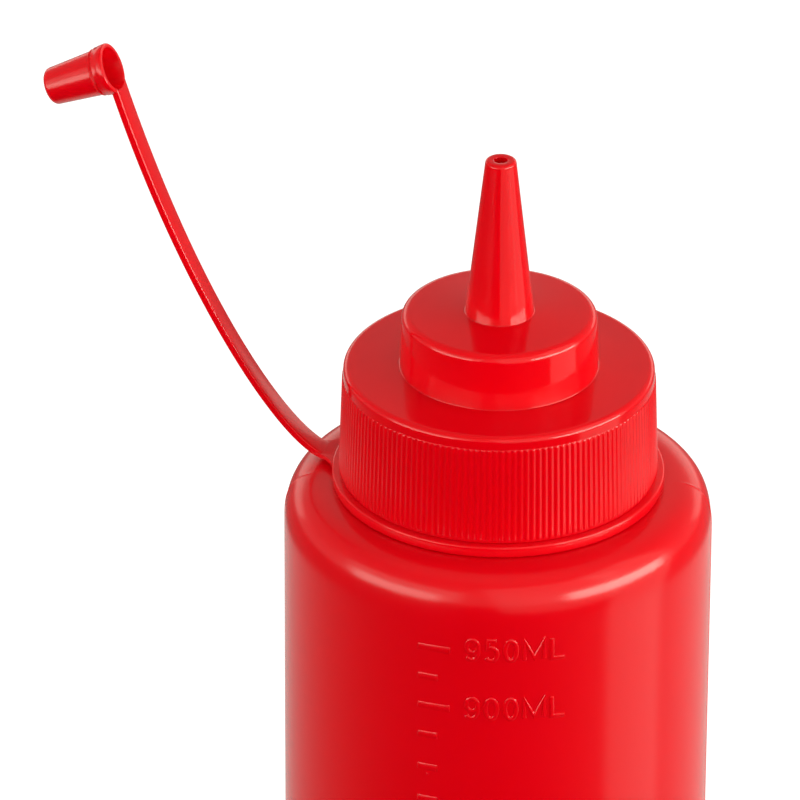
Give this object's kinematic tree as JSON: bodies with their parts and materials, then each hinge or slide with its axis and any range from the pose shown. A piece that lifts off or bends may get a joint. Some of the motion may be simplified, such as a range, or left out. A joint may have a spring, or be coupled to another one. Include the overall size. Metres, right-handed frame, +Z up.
{
  "type": "sauce dispenser bottle",
  "caption": "Cylindrical squeeze bottle for sauce with a ribbed screw cap, a cone nozzle and a tip cap on a bent strap.",
  "frame": {"origin": "middle of the flat base, where it rests", "axes": "+Z up along the bottle's axis; the strap leaves the neck towards -X"},
  "size_m": [0.1205, 0.076, 0.3135],
  "materials": {
    "bottle_plastic": "satin red polyethylene, slightly translucent",
    "cap_plastic": "glossy red moulded polyethylene",
    "tether_plastic": "soft red moulded polyethylene"
  },
  "bodies": {
    "root": {"bottle": "bottle_plastic", "screw_cap": "cap_plastic", "tether": "tether_plastic"}
  },
  "joints": []
}
